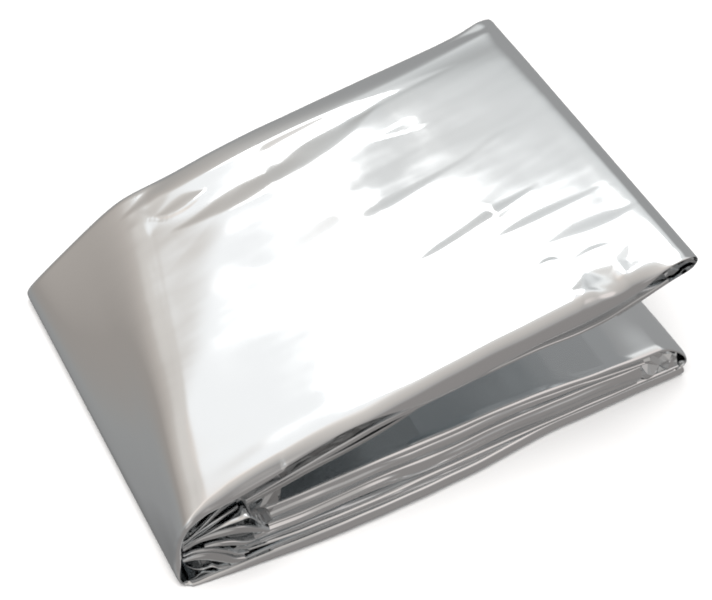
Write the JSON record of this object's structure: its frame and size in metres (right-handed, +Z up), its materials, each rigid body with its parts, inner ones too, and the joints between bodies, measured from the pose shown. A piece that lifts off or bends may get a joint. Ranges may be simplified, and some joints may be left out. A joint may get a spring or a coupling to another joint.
{
  "type": "emergency foil blanket",
  "caption": "Silver metallised film blanket folded to a flat packet, its top layers lifted like an open book cover along one side.",
  "frame": {"origin": "centre of the bounding box, at the height of its bottom", "axes": "+X from the spine, the main fold, to the open side; +Y from the front edge with the open wedge towards the back; +Z up"},
  "size_m": [0.1236, 0.094, 0.0383],
  "materials": {
    "film": "bright metallised polyester film, mirror smooth with soft creases"
  },
  "bodies": {
    "root": {"foil_blanket": "film"}
  },
  "joints": []
}
